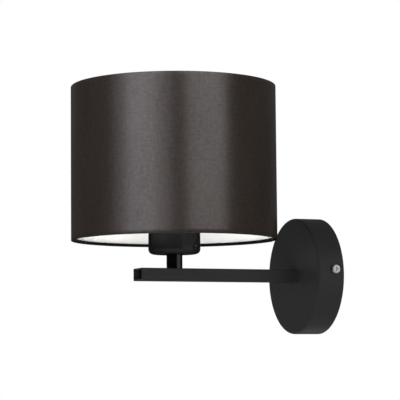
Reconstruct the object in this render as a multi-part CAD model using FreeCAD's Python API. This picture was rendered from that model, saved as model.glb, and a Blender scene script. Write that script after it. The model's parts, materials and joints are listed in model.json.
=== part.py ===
"""Wall light with a fabric drum shade on a flat arm.

The wall plane is y = 0 and the room is towards -Y. +Z is up. The origin is the
centre of the round rose on the wall, and the arm runs along -Y at that height.
All sizes are in millimetres.
"""
import FreeCAD
import Part
import math
import os

V = FreeCAD.Vector
X = V(1, 0, 0)
Y = V(0, 1, 0)
Z = V(0, 0, 1)

# Wall rose
rose_radius = 57.5
rose_depth = 27.5
rose_sheet = 1.2
rose_edge_radius = 2.2
cover_screw_hole_clearance = 0.4

# Wall strap with its two ears and a tongue for the terminal block
strap_sheet = 1.5
strap_height = 20.0
strap_ear_length = 16.0
strap_bend_radius = 2.5
strap_cover_gap = 0.3
tongue_width = 31.0
tongue_drop = 42.0
cable_hole_radius = 7.0
wall_slot_spacing = 60.0
wall_slot_width = 5.0
wall_slot_length = 12.0

# Screws that hold the cover on the strap
cover_screw_radius = 2.0
cover_screw_head_radius = 4.7
cover_screw_head_height = 2.4
cover_screw_length = 12.0
cover_screw_from_wall = 9.3
cover_screw_height = 4.6
cross_width = 0.9
cross_length = 4.4
cross_depth = 1.3
head_rounding = 0.6

# Arm
arm_width = 24.0
arm_height = 12.0
arm_wall = 1.5
arm_corner_radius = 1.2
arm_bore_corner_radius = 0.3
arm_length = 165.0
plug_depth = 12.0
plug_recess = 5.5
plug_clearance = 0.1

# Flange that holds the arm inside the rose
flange_width = 52.0
flange_height = 28.0
flange_sheet = 2.0
flange_corner_radius = 4.0
flange_clearance = 0.1
stud_spacing = 38.0
stud_radius = 2.0
stud_length = 11.0
stud_clearance = 0.25
stud_nut_across_flats = 7.0
stud_nut_height = 3.2
lug_sheet = 0.8
lug_radius = 4.5
lug_barrel_radius = 1.9
lug_barrel_length = 6.0
lug_reach = 7.0
bush_wall = 1.0
bush_length = 8.0
bush_lip = 1.5

# Post between arm and lampholder
post_from_tip = 38.0
sleeve_radius = 7.75
sleeve_length = 14.0
nipple_radius = 5.0
nipple_bore_radius = 3.9
nipple_clearance = 0.1
nipple_above_floor = 4.3
nipple_nut_across_flats = 14.0
nipple_nut_height = 2.4
nipple_washer_radius = 8.0
nipple_washer_height = 0.6

# Cup round the foot of the lampholder
cup_radius = 25.3
cup_wall = 1.2
cup_edge_radius = 5.0
cup_rim_gap = 0.3
cup_screw_angle = 29.0
cup_screw_height = 5.6
cup_screw_radius = 1.5
cup_screw_head_radius = 2.3
cup_screw_head_height = 1.6
cup_screw_gap = 0.1

# Lampholder
holder_base_radius = 19.0
holder_base_wall = 2.0
holder_floor = 3.0
holder_foot_radius = 1.5
holder_inner_foot_radius = 1.0
holder_shoulder_height = 30.0
shoulder_height = 3.0
shoulder_radius = 22.0
shoulder_edge_radius = 0.5
skirt_radius = 19.5
skirt_inner_radius = 16.5
skirt_height = 26.0
skirt_thread_pitch = 3.0
skirt_thread_depth = 0.5
skirt_thread_flank = 0.3
skirt_rim_radius = 0.4
ledge_height = 17.0
ledge_width = 3.0
ledge_thickness = 2.0
insert_radius = 16.3
insert_height = 9.0
lamp_shell_bore_radius = 13.35
lamp_shell_wall = 0.6
lamp_shell_height = 24.0
lamp_shell_foot_radius = 15.5
contact_width = 6.0
contact_sheet = 0.5
contact_rise = 3.2
contact_reach = 7.0
contact_well_radius = 8.5
contact_well_gap = 0.3
clamp_offset = 9.0
clamp_width = 6.0
clamp_depth = 8.0
clamp_height = 3.0

# Ring that clamps the shade on the lampholder
shade_ring_radius = 28.0
shade_ring_collar_radius = 23.5
shade_ring_height = 9.0
shade_ring_flange = 2.4
shade_ring_gap = 0.08
shade_ring_play = 0.1
shade_ring_edge_radius = 0.6
shade_ring_rim_radius = 0.8
grip_count = 24
grip_radius = 0.9
grip_depth = 0.63
grip_foot = 1.0

# Shade
shade_radius = 100.0
shade_height = 150.0
fabric_thickness = 0.5
lining_thickness = 0.4
hem_thickness = 0.4
hem_height = 3.5
hem_fold_radius = 0.3
hem_notch_gap = 0.3
wire_radius = 1.5
wire_gap = 0.1
fitter_hole_radius = 20.0
fitter_radius = 30.0
fitter_sheet = 1.5
fitter_rise = 17.8
spoke_count = 3
spoke_turn = 38.0
spoke_weld_length = 1.2
spoke_weld_gap = 0.05

# Terminal block on the strap's tongue
block_width = 29.0
block_height = 18.0
block_depth = 14.0
block_edge_radius = 0.8
block_below_strap = 11.0
pole_spacing = 9.0
pole_row_spacing = 10.0
pole_screw_radius = 1.7
pole_screw_height = 3.0
pole_well_radius = 2.1
pole_well_depth = 5.0
slot_width = 0.6
slot_depth = 0.8
block_screw_radius = 1.4
block_screw_head_radius = 2.2
block_screw_head_height = 1.6
block_screw_well = 6.0
block_screw_well_gap = 0.2
block_screw_offset = 4.5
earth_screw_radius = 2.0
earth_screw_head_radius = 3.8
earth_screw_head_height = 2.4
earth_screw_place = 44.0

# Inner wires
lead_radius = 1.05
lead_pair_offset = 1.4
lead_bend_radius = 3.0
lead_start_run = 8.0
lead_start_bend = 7.0
lead_entry_bend = 6.0
lead_forward = 1.5
lead_above_nipple = 1.5
lead_clamp_run = 4.0
lead_clamp_bend = 3.5
earth_start_run = 6.0
earth_bend = 6.0
earth_wide_bend = 10.0
earth_turn_drop = 2.0
earth_loop_rise = 8.0

# Clearances and cutting allowances
screw_clearance = 0.05
overshoot = 1.0
slot_end_trim = 1e-4

# Places worked out from the sizes above
cover_face = -rose_depth
cover_inner_face = cover_face + rose_sheet
flange_back = cover_inner_face + flange_sheet
arm_tip = cover_face - arm_length
arm_top = arm_height / 2
post_y = arm_tip + post_from_tip
sleeve_top = arm_top + sleeve_length
cup_floor = sleeve_top + cup_wall
shoulder_top = cup_floor + holder_shoulder_height
skirt_top = shoulder_top + skirt_height
insert_bottom = cup_floor + ledge_height + ledge_thickness
insert_top = insert_bottom + insert_height
shade_bottom = shoulder_top - fitter_rise
shade_top = shade_bottom + shade_height
fabric_inner_radius = shade_radius - fabric_thickness
lining_inner_radius = fabric_inner_radius - lining_thickness
wire_ring_radius = lining_inner_radius - wire_gap - wire_radius
hem_inner_radius = wire_ring_radius - wire_radius - wire_gap - hem_thickness
ring_bottom = shoulder_top + fitter_sheet + shade_ring_play
block_top = -strap_height / 2 - block_below_strap
block_front = -strap_sheet - block_depth
terminal_y = -strap_sheet - block_depth / 2

pieces = {}


def rounded_edges(points, radii, closed):
    """Straight edges between points, with an arc of the given radius at each corner."""
    count = len(points)
    arcs = []
    for i in range(count):
        corner = points[i]
        if radii[i] == 0 or (not closed and i in (0, count - 1)):
            arcs.append((corner, None, corner))
            continue
        back = (points[i - 1] - corner).normalize()
        ahead = (points[(i + 1) % count] - corner).normalize()
        half = back.getAngle(ahead) / 2
        reach = radii[i] / math.tan(half)
        inward = (back + ahead).normalize()
        middle = corner + inward * (radii[i] / math.sin(half) - radii[i])
        arcs.append((corner + back * reach, middle, corner + ahead * reach))
    edges = []
    for i in range(count):
        start, middle, end = arcs[i]
        if middle is not None:
            edges.append(Part.Arc(start, middle, end).toShape())
        if i < count - 1 or closed:
            following = arcs[(i + 1) % count][0]
            if end.distanceToPoint(following) > 1e-6:
                edges.append(Part.LineSegment(end, following).toShape())
    return edges


def outline_face(corners):
    """Flat face from a closed list of (point, corner radius)."""
    points = [corner[0] for corner in corners]
    radii = [corner[1] for corner in corners]
    return Part.Face(Part.Wire(rounded_edges(points, radii, True)))


def turned_on_post(profile):
    """Body of revolution on the lampholder's axis from (radius, height, corner radius)."""
    face = outline_face([(V(r, post_y, z), corner) for r, z, corner in profile])
    return face.revolve(V(0, post_y, 0), Z, 360)


def turned_on_rose(profile):
    """Body of revolution on the rose's axis from (radius, y, corner radius)."""
    face = outline_face([(V(r, y, 0), corner) for r, y, corner in profile])
    return face.revolve(V(0, 0, 0), Y, 360)


def rod(radius, start, end):
    """Round bar between two points."""
    return Part.makeCylinder(radius, start.distanceToPoint(end), start, end - start)


def box(x0, x1, y0, y1, z0, z1):
    """Block between two corners."""
    return Part.makeBox(x1 - x0, y1 - y0, z1 - z0, V(x0, y0, z0))


def flat_bar(width, height, corner, y0, y1):
    """Bar of rounded rectangular section along Y, centred on the arm's line."""
    w = width / 2
    h = height / 2
    section = [(V(-w, y0, -h), corner), (V(w, y0, -h), corner),
               (V(w, y0, h), corner), (V(-w, y0, h), corner)]
    return outline_face(section).extrude(V(0, y1 - y0, 0))


def hexagon(across_flats, base, axis, height):
    """Hexagonal prism standing on base along axis."""
    side = X if abs(axis.dot(X)) < 0.5 else Y
    other = axis.cross(side)
    reach = across_flats / math.sqrt(3)
    points = []
    for i in range(6):
        angle = math.radians(60 * i)
        points.append(base + side * (reach * math.cos(angle)) + other * (reach * math.sin(angle)))
    return Part.Face(Part.makePolygon(points + points[:1])).extrude(axis * height)


def pan_head_screw(seat, outward, shank_radius, length, head_radius, head_height):
    """Screw with a domed head on its seat, head outwards, with a cross recess."""
    head = rod(head_radius, seat, seat + outward * head_height)
    rim = [edge for edge in head.Edges
           if abs((edge.BoundBox.Center - seat).dot(outward) - head_height) < head_height / 10]
    head = head.makeFillet(head_height * head_rounding, rim)
    shank = rod(shank_radius, seat - outward * length, seat)
    screw = head.fuse(shank)
    side = outward.cross(Z).normalize()
    top = seat + outward * head_height
    scale = head_radius / cover_screw_head_radius
    for direction, across in ((side, Z), (Z, side)):
        half_long = direction * (cross_length * scale / 2)
        half_wide = across * (cross_width * scale / 2)
        corners = [top + half_long + half_wide, top + half_long - half_wide,
                   top - half_long - half_wide, top - half_long + half_wide]
        bar = Part.Face(Part.makePolygon(corners + corners[:1]))
        screw = screw.cut(bar.extrude(outward * (-cross_depth * scale)))
    return screw.removeSplitter()


def lead(name, points, radii):
    """Insulated wire along straight runs joined by tangent arcs."""
    path = Part.Wire(rounded_edges(points, radii, False))
    start_direction = (points[1] - points[0]).normalize()
    section = Part.Wire(Part.makeCircle(lead_radius, points[0], start_direction))
    solid = path.makePipeShell([section], True, True)
    expected = math.pi * lead_radius ** 2 * path.Length
    print(name, "length", round(path.Length, 1), "smallest radius", min(r for r in radii if r),
          "volume over section times length", round(solid.Volume / expected, 4))
    return solid


def make_rose():
    """Cover, wall strap and the two screws that join them."""
    r = rose_radius
    inner_edge_radius = max(rose_edge_radius - rose_sheet, 0)
    cover = turned_on_rose([
        (0, cover_face, 0), (r, cover_face, rose_edge_radius), (r, 0, 0), (r - rose_sheet, 0, 0),
        (r - rose_sheet, cover_inner_face, inner_edge_radius), (0, cover_inner_face, 0)])
    tube_hole = flat_bar(arm_width + 2 * flange_clearance, arm_height + 2 * flange_clearance,
                         arm_corner_radius, cover_face - overshoot, cover_inner_face + overshoot)
    cover = cover.cut(tube_hole)
    screw_line = V(0, -cover_screw_from_wall, cover_screw_height)
    line_start = screw_line - X * (r + overshoot)
    line_end = screw_line + X * (r + overshoot)
    cover = cover.cut(rod(cover_screw_radius + cover_screw_hole_clearance, line_start, line_end))
    pieces["rose_cover"] = cover

    half_height = strap_height / 2
    inner_radius = r - rose_sheet
    reach = math.sqrt(inner_radius ** 2 - half_height ** 2) - strap_cover_gap
    bend = strap_bend_radius
    profile = [(V(-reach, -strap_ear_length, -half_height), 0), (V(-reach, 0, -half_height), bend),
               (V(reach, 0, -half_height), bend), (V(reach, -strap_ear_length, -half_height), 0),
               (V(reach - strap_sheet, -strap_ear_length, -half_height), 0),
               (V(reach - strap_sheet, -strap_sheet, -half_height), bend - strap_sheet),
               (V(-reach + strap_sheet, -strap_sheet, -half_height), bend - strap_sheet),
               (V(-reach + strap_sheet, -strap_ear_length, -half_height), 0)]
    strap = outline_face(profile).extrude(Z * strap_height)
    tongue = box(-tongue_width / 2, tongue_width / 2, -strap_sheet, 0, -tongue_drop, -half_height)
    strap = strap.fuse(tongue).removeSplitter()
    through = Y * (strap_sheet + 2 * overshoot)
    strap = strap.cut(rod(cable_hole_radius, Y * overshoot - through, Y * overshoot))
    strap = strap.cut(rod(cover_screw_radius + screw_clearance, line_start, line_end))
    for side in (-1, 1):
        centre = side * wall_slot_spacing / 2
        w = wall_slot_length / 2
        h = wall_slot_width / 2
        corners = [V(centre - w, overshoot, -h), V(centre + w, overshoot, -h),
                   V(centre + w, overshoot, h), V(centre - w, overshoot, h)]
        slot = outline_face([(corner, h - slot_end_trim) for corner in corners])
        strap = strap.cut(slot.extrude(-through))
    earth_line = V(earth_screw_place, overshoot, 0)
    strap = strap.cut(rod(earth_screw_radius + screw_clearance, earth_line, earth_line - through))
    block_line = V(block_screw_offset, overshoot, block_top - block_height / 2)
    strap = strap.cut(rod(block_screw_radius + screw_clearance, block_line, block_line - through))
    pieces["wall_strap"] = strap

    for name, side in (("cover_screw_right", 1), ("cover_screw_left", -1)):
        nearest_z = max(cover_screw_height - cover_screw_head_radius, 0)
        seat_x = math.sqrt(r ** 2 - nearest_z ** 2)
        seat = V(side * seat_x, -cover_screw_from_wall, cover_screw_height)
        pieces[name] = pan_head_screw(seat, X * side, cover_screw_radius, cover_screw_length,
                                      cover_screw_head_radius, cover_screw_head_height)
    earth_seat = V(earth_screw_place, -strap_sheet, 0)
    pieces["earth_screw"] = pan_head_screw(earth_seat, -Y, earth_screw_radius, strap_sheet,
                                           earth_screw_head_radius, earth_screw_head_height)


def make_arm():
    """Tube, its end plug, and the flange, studs and bush inside the rose."""
    tube = flat_bar(arm_width, arm_height, arm_corner_radius, arm_tip, flange_back)
    bore_width = arm_width - 2 * arm_wall
    bore_height = arm_height - 2 * arm_wall
    corner = arm_bore_corner_radius
    bore = flat_bar(bore_width, bore_height, corner, arm_tip - overshoot, flange_back + overshoot)
    tube = tube.cut(bore)
    nipple_hole = rod(nipple_radius + nipple_clearance, V(0, post_y, 0), V(0, post_y, arm_top + overshoot))
    pieces["arm_tube"] = tube.cut(nipple_hole)

    plug_face = arm_tip + plug_recess
    pieces["arm_end_plug"] = flat_bar(bore_width - plug_clearance, bore_height - plug_clearance, corner,
                                      plug_face, plug_face + plug_depth)

    flange = flat_bar(flange_width, flange_height, flange_corner_radius, cover_inner_face, flange_back)
    flange = flange.cut(flat_bar(arm_width + 2 * flange_clearance, arm_height + 2 * flange_clearance,
                                 arm_corner_radius, cover_inner_face - overshoot,
                                 flange_back + overshoot))
    studs = []
    nuts = []
    for side in (-1, 1):
        foot = V(side * stud_spacing / 2, cover_inner_face, 0)
        flange = flange.cut(rod(stud_radius + stud_clearance, foot - Y * overshoot,
                                foot + Y * (flange_sheet + overshoot)))
        studs.append(rod(stud_radius, foot, foot + Y * stud_length))
        seat = foot + Y * (flange_sheet + lug_sheet)
        nut = hexagon(stud_nut_across_flats, seat, Y, stud_nut_height)
        nuts.append(nut.cut(rod(stud_radius + screw_clearance, seat - Y * overshoot,
                                seat + Y * (stud_nut_height + overshoot))))
    pieces["arm_flange"] = flange
    pieces["cover_studs"] = Part.makeCompound(studs)
    pieces["stud_nuts"] = Part.makeCompound(nuts)

    washer_place = V(-stud_spacing / 2, flange_back, 0)
    washer = rod(lug_radius, washer_place, washer_place + Y * lug_sheet)
    through = Y * (lug_sheet + 2 * overshoot)
    hole_start = washer_place - Y * overshoot
    pieces["stud_washer"] = washer.cut(rod(stud_radius + screw_clearance, hole_start, hole_start + through))

    lug_place = V(stud_spacing / 2, flange_back, 0)
    lug = rod(lug_radius, lug_place, lug_place + Y * lug_sheet)
    neck = box(lug_place.x - lug_barrel_radius, lug_place.x + lug_barrel_radius,
               flange_back, flange_back + lug_sheet, 0, lug_reach)
    barrel_foot = lug_place + V(0, lug_barrel_radius, lug_reach)
    barrel = rod(lug_barrel_radius, barrel_foot, barrel_foot + Z * lug_barrel_length)
    lug = lug.fuse([neck, barrel]).removeSplitter()
    hole_start = lug_place - Y * overshoot
    pieces["earth_lug"] = lug.cut(rod(stud_radius + screw_clearance, hole_start, hole_start + through))

    bush_end = flange_back - bush_length
    lip_end = flange_back + bush_lip
    bush = flat_bar(bore_width - plug_clearance, bore_height - plug_clearance, corner,
                    bush_end, flange_back)
    lip = flat_bar(arm_width - arm_wall, arm_height - arm_wall, corner, flange_back, lip_end)
    opening = flat_bar(bore_width - 2 * bush_wall, bore_height - 2 * bush_wall, corner,
                       bush_end - overshoot, lip_end + overshoot)
    pieces["tube_bush"] = bush.fuse(lip).removeSplitter().cut(opening)


def make_post():
    """Sleeve, hollow nipple with its nut and washer, and the cup with its screw."""
    sleeve = rod(sleeve_radius, V(0, post_y, arm_top), V(0, post_y, sleeve_top))
    passage = rod(nipple_radius + nipple_clearance, V(0, post_y, arm_top - overshoot),
                  V(0, post_y, cup_floor + overshoot))
    pieces["post_sleeve"] = sleeve.cut(passage)

    tube_ceiling = arm_top - arm_wall
    washer_bottom = tube_ceiling - nipple_washer_height
    nut_bottom = washer_bottom - nipple_nut_height
    washer = rod(nipple_washer_radius, V(0, post_y, washer_bottom), V(0, post_y, tube_ceiling))
    nut = hexagon(nipple_nut_across_flats, V(0, post_y, nut_bottom), Z, nipple_nut_height)
    hole = rod(nipple_radius + screw_clearance, V(0, post_y, nut_bottom - overshoot),
               V(0, post_y, tube_ceiling + overshoot))
    pieces["nipple_washer"] = washer.cut(hole)
    pieces["nipple_nut"] = nut.cut(hole)
    nipple_top = cup_floor + nipple_above_floor
    nipple = rod(nipple_radius, V(0, post_y, nut_bottom), V(0, post_y, nipple_top))
    bore = rod(nipple_bore_radius, V(0, post_y, nut_bottom - overshoot),
               V(0, post_y, nipple_top + overshoot))
    pieces["holder_nipple"] = nipple.cut(bore)

    rim = shoulder_top - cup_rim_gap
    cup = turned_on_post([
        (0, sleeve_top, 0), (cup_radius, sleeve_top, cup_edge_radius), (cup_radius, rim, 0),
        (cup_radius - cup_wall, rim, 0),
        (cup_radius - cup_wall, cup_floor, cup_edge_radius - cup_wall), (0, cup_floor, 0)])
    cup = cup.cut(passage)
    angle = math.radians(cup_screw_angle)
    outward = V(math.cos(angle), math.sin(angle), 0)
    axis_point = V(0, post_y, sleeve_top + cup_screw_height)
    cup = cup.cut(rod(cup_screw_radius + screw_clearance, axis_point + outward * holder_base_radius,
                      axis_point + outward * (cup_radius + overshoot)))
    pieces["lampholder_cup"] = cup
    length = cup_radius - holder_base_radius - cup_screw_gap
    pieces["cup_screw"] = pan_head_screw(axis_point + outward * cup_radius, outward, cup_screw_radius,
                                         length, cup_screw_head_radius, cup_screw_head_height)


def make_lampholder():
    """Two housings, insulating block, screw shell, contact and wire clamps."""
    inner = holder_base_radius - holder_base_wall
    base_top = shoulder_top - shoulder_height
    ledge = cup_floor + ledge_height
    base = turned_on_post([
        (nipple_radius + screw_clearance, cup_floor, 0),
        (holder_base_radius, cup_floor, holder_foot_radius),
        (holder_base_radius, base_top, 0), (inner, base_top, 0), (inner, ledge + ledge_thickness, 0),
        (inner - ledge_width, ledge + ledge_thickness, 0), (inner - ledge_width, ledge, 0),
        (inner, ledge, 0), (inner, cup_floor + holder_floor, holder_inner_foot_radius),
        (nipple_radius + screw_clearance, cup_floor + holder_floor, 0)])
    pieces["lampholder_base"] = base

    skirt_profile = [(skirt_inner_radius, base_top, 0),
                     (shoulder_radius, base_top, shoulder_edge_radius),
                     (shoulder_radius, shoulder_top, shoulder_edge_radius)]
    groove = skirt_radius - skirt_thread_depth
    turns = int(skirt_height // skirt_thread_pitch)
    for turn in range(turns):
        low = shoulder_top + turn * skirt_thread_pitch
        flank = skirt_thread_flank * skirt_thread_pitch
        skirt_profile += [(groove, low, 0), (skirt_radius, low + flank, 0),
                          (skirt_radius, low + skirt_thread_pitch - flank, 0)]
    skirt_profile += [(groove, shoulder_top + turns * skirt_thread_pitch, 0),
                      (groove, skirt_top, skirt_rim_radius),
                      (skirt_inner_radius, skirt_top, skirt_rim_radius)]
    pieces["lampholder_skirt"] = turned_on_post(skirt_profile)

    well_floor = insert_top - contact_rise - contact_well_gap
    block = rod(insert_radius, V(0, post_y, insert_bottom), V(0, post_y, insert_top))
    well = rod(contact_well_radius, V(0, post_y, well_floor), V(0, post_y, insert_top + overshoot))
    pieces["lampholder_insert"] = block.cut(well)

    outer = lamp_shell_bore_radius + lamp_shell_wall
    foot_top = insert_top + lamp_shell_wall
    shell_top = insert_top + lamp_shell_height
    pieces["lamp_shell"] = turned_on_post([
        (lamp_shell_bore_radius, insert_top, 0), (lamp_shell_foot_radius, insert_top, 0),
        (lamp_shell_foot_radius, foot_top, 0), (outer, foot_top, 0), (outer, shell_top, 0),
        (lamp_shell_bore_radius, shell_top, 0)])

    y0 = post_y - contact_width / 2
    t = contact_sheet
    tongue = [(-contact_reach, 0, 0), (-contact_reach / 3, 0, t / 2),
              (contact_reach / 3, contact_rise - t, t / 2), (contact_reach, contact_rise - t, 0),
              (contact_reach, contact_rise, 0), (contact_reach / 3 - t, contact_rise, t),
              (-contact_reach / 3 - t, t, t), (-contact_reach, t, 0)]
    profile = [(V(x, y0, well_floor + z), corner) for x, z, corner in tongue]
    pieces["centre_contact"] = outline_face(profile).extrude(Y * contact_width)

    clamps = []
    for side in (-1, 1):
        x = side * clamp_offset
        clamps.append(box(x - clamp_width / 2, x + clamp_width / 2, post_y - clamp_depth / 2,
                          post_y + clamp_depth / 2, insert_bottom - clamp_height, insert_bottom))
    pieces["lampholder_terminals"] = Part.makeCompound(clamps)

    bore = skirt_radius + shade_ring_gap
    top = ring_bottom + shade_ring_height
    flange_top = ring_bottom + shade_ring_flange
    ring = turned_on_post([
        (bore, ring_bottom, 0), (shade_ring_radius, ring_bottom, shade_ring_edge_radius),
        (shade_ring_radius, flange_top, shade_ring_edge_radius),
        (shade_ring_collar_radius, flange_top, shade_ring_edge_radius),
        (shade_ring_collar_radius, top, shade_ring_rim_radius), (bore, top, 0)])
    grooves = []
    for i in range(grip_count):
        angle = 2 * math.pi * i / grip_count
        reach = shade_ring_collar_radius + grip_radius - grip_depth
        foot = V(reach * math.cos(angle), post_y + reach * math.sin(angle), flange_top + grip_foot)
        grooves.append(rod(grip_radius, foot, foot + Z * shade_ring_height))
    pieces["shade_ring"] = ring.cut(grooves)


def make_shade():
    """Fabric drum with lining, hems, wire rings and the spoked fitter."""
    def hoop(outer, inner, low, high):
        return turned_on_post([(inner, low, 0), (outer, low, 0), (outer, high, 0), (inner, high, 0)])

    pieces["shade_fabric"] = hoop(shade_radius, fabric_inner_radius, shade_bottom, shade_top)
    pieces["shade_lining"] = hoop(fabric_inner_radius, lining_inner_radius,
                                  shade_bottom + hem_thickness, shade_top - hem_thickness)
    low_wire = shade_bottom + hem_thickness + wire_gap + wire_radius
    high_wire = shade_top - hem_thickness - wire_gap - wire_radius
    for name, height in (("shade_bottom_ring", low_wire), ("shade_top_ring", high_wire)):
        pieces[name] = Part.makeTorus(wire_ring_radius, wire_radius, V(0, post_y, height), Z)

    spoke_top = shoulder_top + fitter_sheet - wire_radius
    spokes = []
    notches = []
    for i in range(spoke_count):
        angle = math.radians(spoke_turn + 360 * i / spoke_count)
        out = V(math.cos(angle), math.sin(angle), 0)
        start = V(0, post_y, spoke_top) + out * (fitter_radius - spoke_weld_length)
        ring_centre = V(0, post_y, low_wire) + out * wire_ring_radius
        along = (ring_centre - start).normalize()
        spokes.append(rod(wire_radius, start, ring_centre - along * (wire_radius + spoke_weld_gap)))
        notches.append(rod(wire_radius + hem_notch_gap, start, ring_centre))
    plate = hoop(fitter_radius, fitter_hole_radius, shoulder_top, shoulder_top + fitter_sheet)
    pieces["shade_fitter"] = plate.fuse(spokes).removeSplitter()

    leg = hem_inner_radius + hem_thickness
    for name, edge, step in (("shade_bottom_hem", shade_bottom, 1), ("shade_top_hem", shade_top, -1)):
        fold = edge + step * hem_thickness
        end = edge + step * hem_height
        hem = turned_on_post([
            (hem_inner_radius, edge, hem_fold_radius), (fabric_inner_radius, edge, 0),
            (fabric_inner_radius, fold, 0), (leg, fold, 0), (leg, end, 0), (hem_inner_radius, end, 0)])
        pieces[name] = hem.cut(notches)


def make_terminals():
    """Terminal block on the tongue, its screws and the three inner wires."""
    low = block_top - block_height
    w = block_width / 2
    section = [(V(-w, block_front, low), block_edge_radius), (V(w, block_front, low), block_edge_radius),
               (V(w, block_front, block_top), block_edge_radius),
               (V(-w, block_front, block_top), block_edge_radius)]
    block = outline_face(section).extrude(Y * block_depth)
    screws = []
    middle = block_top - block_height / 2
    for column in (-1, 0, 1):
        for row in (-1, 1):
            mouth = V(column * pole_spacing, block_front, middle + row * pole_row_spacing / 2)
            block = block.cut(rod(pole_well_radius, mouth - Y * overshoot, mouth + Y * pole_well_depth))
            head = mouth + Y * (pole_well_depth - pole_screw_height)
            screw = rod(pole_screw_radius, head, mouth + Y * pole_well_depth)
            groove = box(mouth.x - slot_width / 2, mouth.x + slot_width / 2, head.y - overshoot,
                         head.y + slot_depth, mouth.z - pole_well_radius, mouth.z + pole_well_radius)
            screws.append(screw.cut(groove))
    hole = V(block_screw_offset, block_front, middle)
    block = block.cut(rod(block_screw_head_radius + block_screw_well_gap, hole - Y * overshoot,
                          hole + Y * block_screw_well))
    block = block.cut(rod(block_screw_radius + screw_clearance, hole, hole + Y * (block_depth + overshoot)))
    pieces["terminal_block"] = block
    pieces["terminal_screws"] = Part.makeCompound(screws)
    seat = hole + Y * block_screw_well
    length = block_depth - block_screw_well + strap_sheet
    pieces["terminal_block_screw"] = pan_head_screw(seat, -Y, block_screw_radius, length,
                                                    block_screw_head_radius, block_screw_head_height)

    lead_top = cup_floor + nipple_above_floor + lead_above_nipple
    clamp_bottom = insert_bottom - clamp_height
    for name, column, side in (("wire_live", -1, -1), ("wire_neutral", 0, 1)):
        inner_x = side * lead_pair_offset
        points = [V(column * pole_spacing, terminal_y, block_top),
                  V(column * pole_spacing, terminal_y, block_top + lead_start_run),
                  V(inner_x, terminal_y - lead_forward, 0),
                  V(inner_x, post_y, 0),
                  V(inner_x, post_y, lead_top),
                  V(side * clamp_offset, post_y, clamp_bottom - lead_clamp_run),
                  V(side * clamp_offset, post_y, clamp_bottom)]
        pieces[name] = lead(name, points, [0, lead_start_bend, lead_entry_bend, lead_bend_radius,
                                           lead_clamp_bend, lead_clamp_bend, 0])

    lug_x = stud_spacing / 2
    barrel_y = flange_back + lug_barrel_radius
    barrel_top = lug_reach + lug_barrel_length
    points = [V(pole_spacing, terminal_y, block_top),
              V(pole_spacing, terminal_y, block_top + earth_start_run),
              V(lug_x, terminal_y, -earth_turn_drop), V(lug_x, terminal_y, barrel_top + earth_loop_rise),
              V(lug_x, barrel_y, barrel_top + earth_loop_rise), V(lug_x, barrel_y, barrel_top)]
    pieces["wire_earth"] = lead("wire_earth", points, [0, earth_bend, earth_wide_bend, earth_bend,
                                                       earth_bend, 0])


make_rose()
make_arm()
make_post()
make_lampholder()
make_shade()
make_terminals()

os.makedirs("parts", exist_ok=True)
for name, shape in pieces.items():
    shape.exportStep("parts/" + name + ".step")
    print(name, "solids", len(shape.Solids), "volume", round(shape.Volume, 1), "valid", shape.isValid())
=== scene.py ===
"""Fabric shade wall light: cloth drum, lining, hems, socket thread, finishes and studio.

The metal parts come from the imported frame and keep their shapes. The cloth cover, its lining
and turned-in hems, and the rolled thread of the lamp socket are modelled here. Lengths are in
metres, +Z is up, the wall plane is y = 0 and the room is towards -Y.
"""
import json
import math

import bmesh
import bpy
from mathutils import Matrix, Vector

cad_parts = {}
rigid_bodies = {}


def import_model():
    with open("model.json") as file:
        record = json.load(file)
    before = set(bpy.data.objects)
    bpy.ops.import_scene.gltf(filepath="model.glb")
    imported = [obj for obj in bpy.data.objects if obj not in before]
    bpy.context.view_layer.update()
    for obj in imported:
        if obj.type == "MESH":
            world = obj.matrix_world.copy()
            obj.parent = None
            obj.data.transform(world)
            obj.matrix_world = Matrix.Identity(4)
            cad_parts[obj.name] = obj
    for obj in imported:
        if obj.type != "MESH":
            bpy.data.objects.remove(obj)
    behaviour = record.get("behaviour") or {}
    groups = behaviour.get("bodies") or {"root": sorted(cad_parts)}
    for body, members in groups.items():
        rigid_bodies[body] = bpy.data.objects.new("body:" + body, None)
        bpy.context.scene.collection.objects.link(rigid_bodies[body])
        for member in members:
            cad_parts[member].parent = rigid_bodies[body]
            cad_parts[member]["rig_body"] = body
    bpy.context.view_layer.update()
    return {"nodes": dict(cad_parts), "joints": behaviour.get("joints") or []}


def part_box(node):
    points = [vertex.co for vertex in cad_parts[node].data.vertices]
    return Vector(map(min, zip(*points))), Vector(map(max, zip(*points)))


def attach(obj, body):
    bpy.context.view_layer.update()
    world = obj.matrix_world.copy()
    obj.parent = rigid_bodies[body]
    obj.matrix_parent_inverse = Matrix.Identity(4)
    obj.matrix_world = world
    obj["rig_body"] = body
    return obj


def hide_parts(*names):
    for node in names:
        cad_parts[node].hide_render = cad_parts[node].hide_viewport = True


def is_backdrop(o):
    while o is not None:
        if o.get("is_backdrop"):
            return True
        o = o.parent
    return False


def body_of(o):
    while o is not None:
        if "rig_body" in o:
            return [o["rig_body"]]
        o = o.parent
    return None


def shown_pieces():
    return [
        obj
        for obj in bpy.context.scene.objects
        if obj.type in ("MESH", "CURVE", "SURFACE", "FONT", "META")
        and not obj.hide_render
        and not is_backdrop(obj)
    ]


bl_info = {
    "name": "Fabric shade wall light",
    "version": (1, 0, 0),
    "blender": (4, 5, 0),
    "location": "View3D > Sidebar > Wall light",
    "description": "Builds the cloth shade, socket thread, finishes and studio of a wall light",
    "category": "Object",
}

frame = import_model()
nodes = frame["nodes"]

MM = 0.001
cloth_low, cloth_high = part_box("shade_fabric")
lining_low, lining_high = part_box("shade_lining")
wire_low, wire_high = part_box("shade_bottom_ring")
socket_low, socket_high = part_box("lamp_shell")
shade_axis = Vector(next(j["pos_m"] for j in frame["joints"] if j["name"] == "shade_turn"))
shade_axis.z = 0.0


# Sizes and colours that can be changed in the panel

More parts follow.
